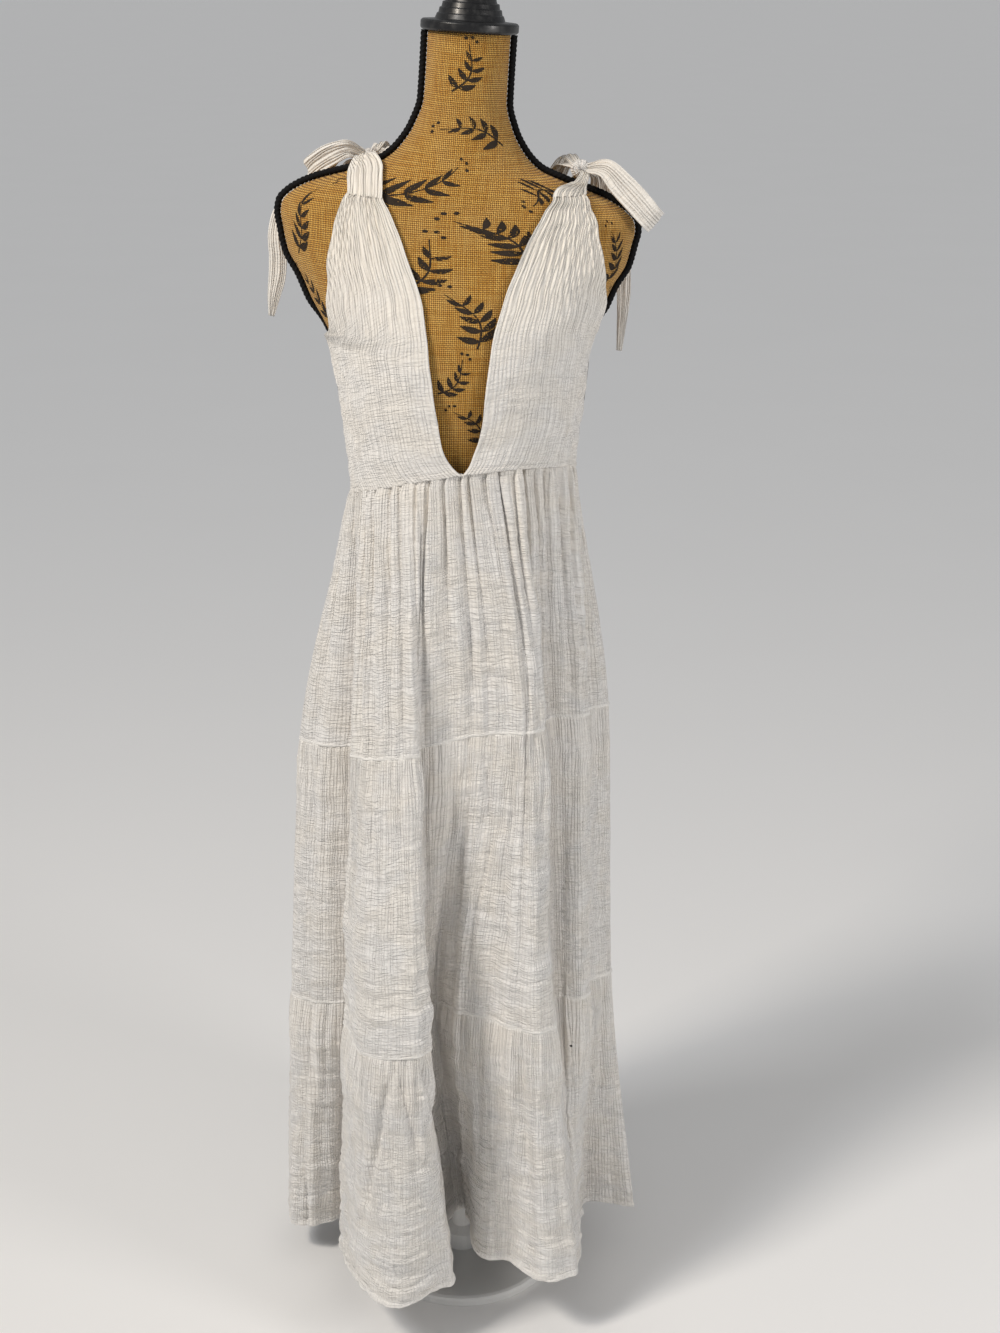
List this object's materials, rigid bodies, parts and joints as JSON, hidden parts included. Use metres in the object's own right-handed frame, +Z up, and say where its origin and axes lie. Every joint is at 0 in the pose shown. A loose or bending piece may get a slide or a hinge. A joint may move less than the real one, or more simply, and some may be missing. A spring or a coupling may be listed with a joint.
{
  "type": "tiered maxi dress on a dress form",
  "caption": "Sleeveless tiered maxi dress in crinkled cotton, plunging V neck, pleated empire waist and shoulder bows, on a burlap dress form with a pole stand",
  "frame": {"origin": "middle of the underside of the stand's base, on the floor", "axes": "+Z up along the pole, -Y towards the front of the dress, +X to the right as seen from the front"},
  "size_m": [0.4596, 0.4566, 1.6271],
  "materials": {
    "cotton": "crinkled double gauze, matt",
    "burlap": "coarse plain weave",
    "cord": "twisted cord piping",
    "cap": "gloss",
    "paint": "white, satin"
  },
  "bodies": {
    "root": {"bodice_front_left": "cotton", "bodice_front_right": "cotton", "bodice_back": "cotton", "strap_front_left": "cotton", "strap_back_left": "cotton", "strap_front_right": "cotton", "strap_back_right": "cotton", "knot_left": "cotton", "knot_right": "cotton", "loop_outer_left": "cotton", "loop_inner_left": "cotton", "loop_outer_right": "cotton", "loop_inner_right": "cotton", "tail_outer_left": "cotton", "tail_inner_left": "cotton", "tail_outer_right": "cotton", "tail_inner_right": "cotton", "tier_1_front": "cotton", "tier_1_back": "cotton", "tier_2_front": "cotton", "tier_2_back": "cotton", "tier_3_front": "cotton", "tier_3_back": "cotton", "form_torso": "burlap", "form_piping_left": "cord", "form_piping_right": "cord", "neck_cap": "cap", "stand_pole": "paint", "stand_base": "paint"}
  },
  "joints": []
}
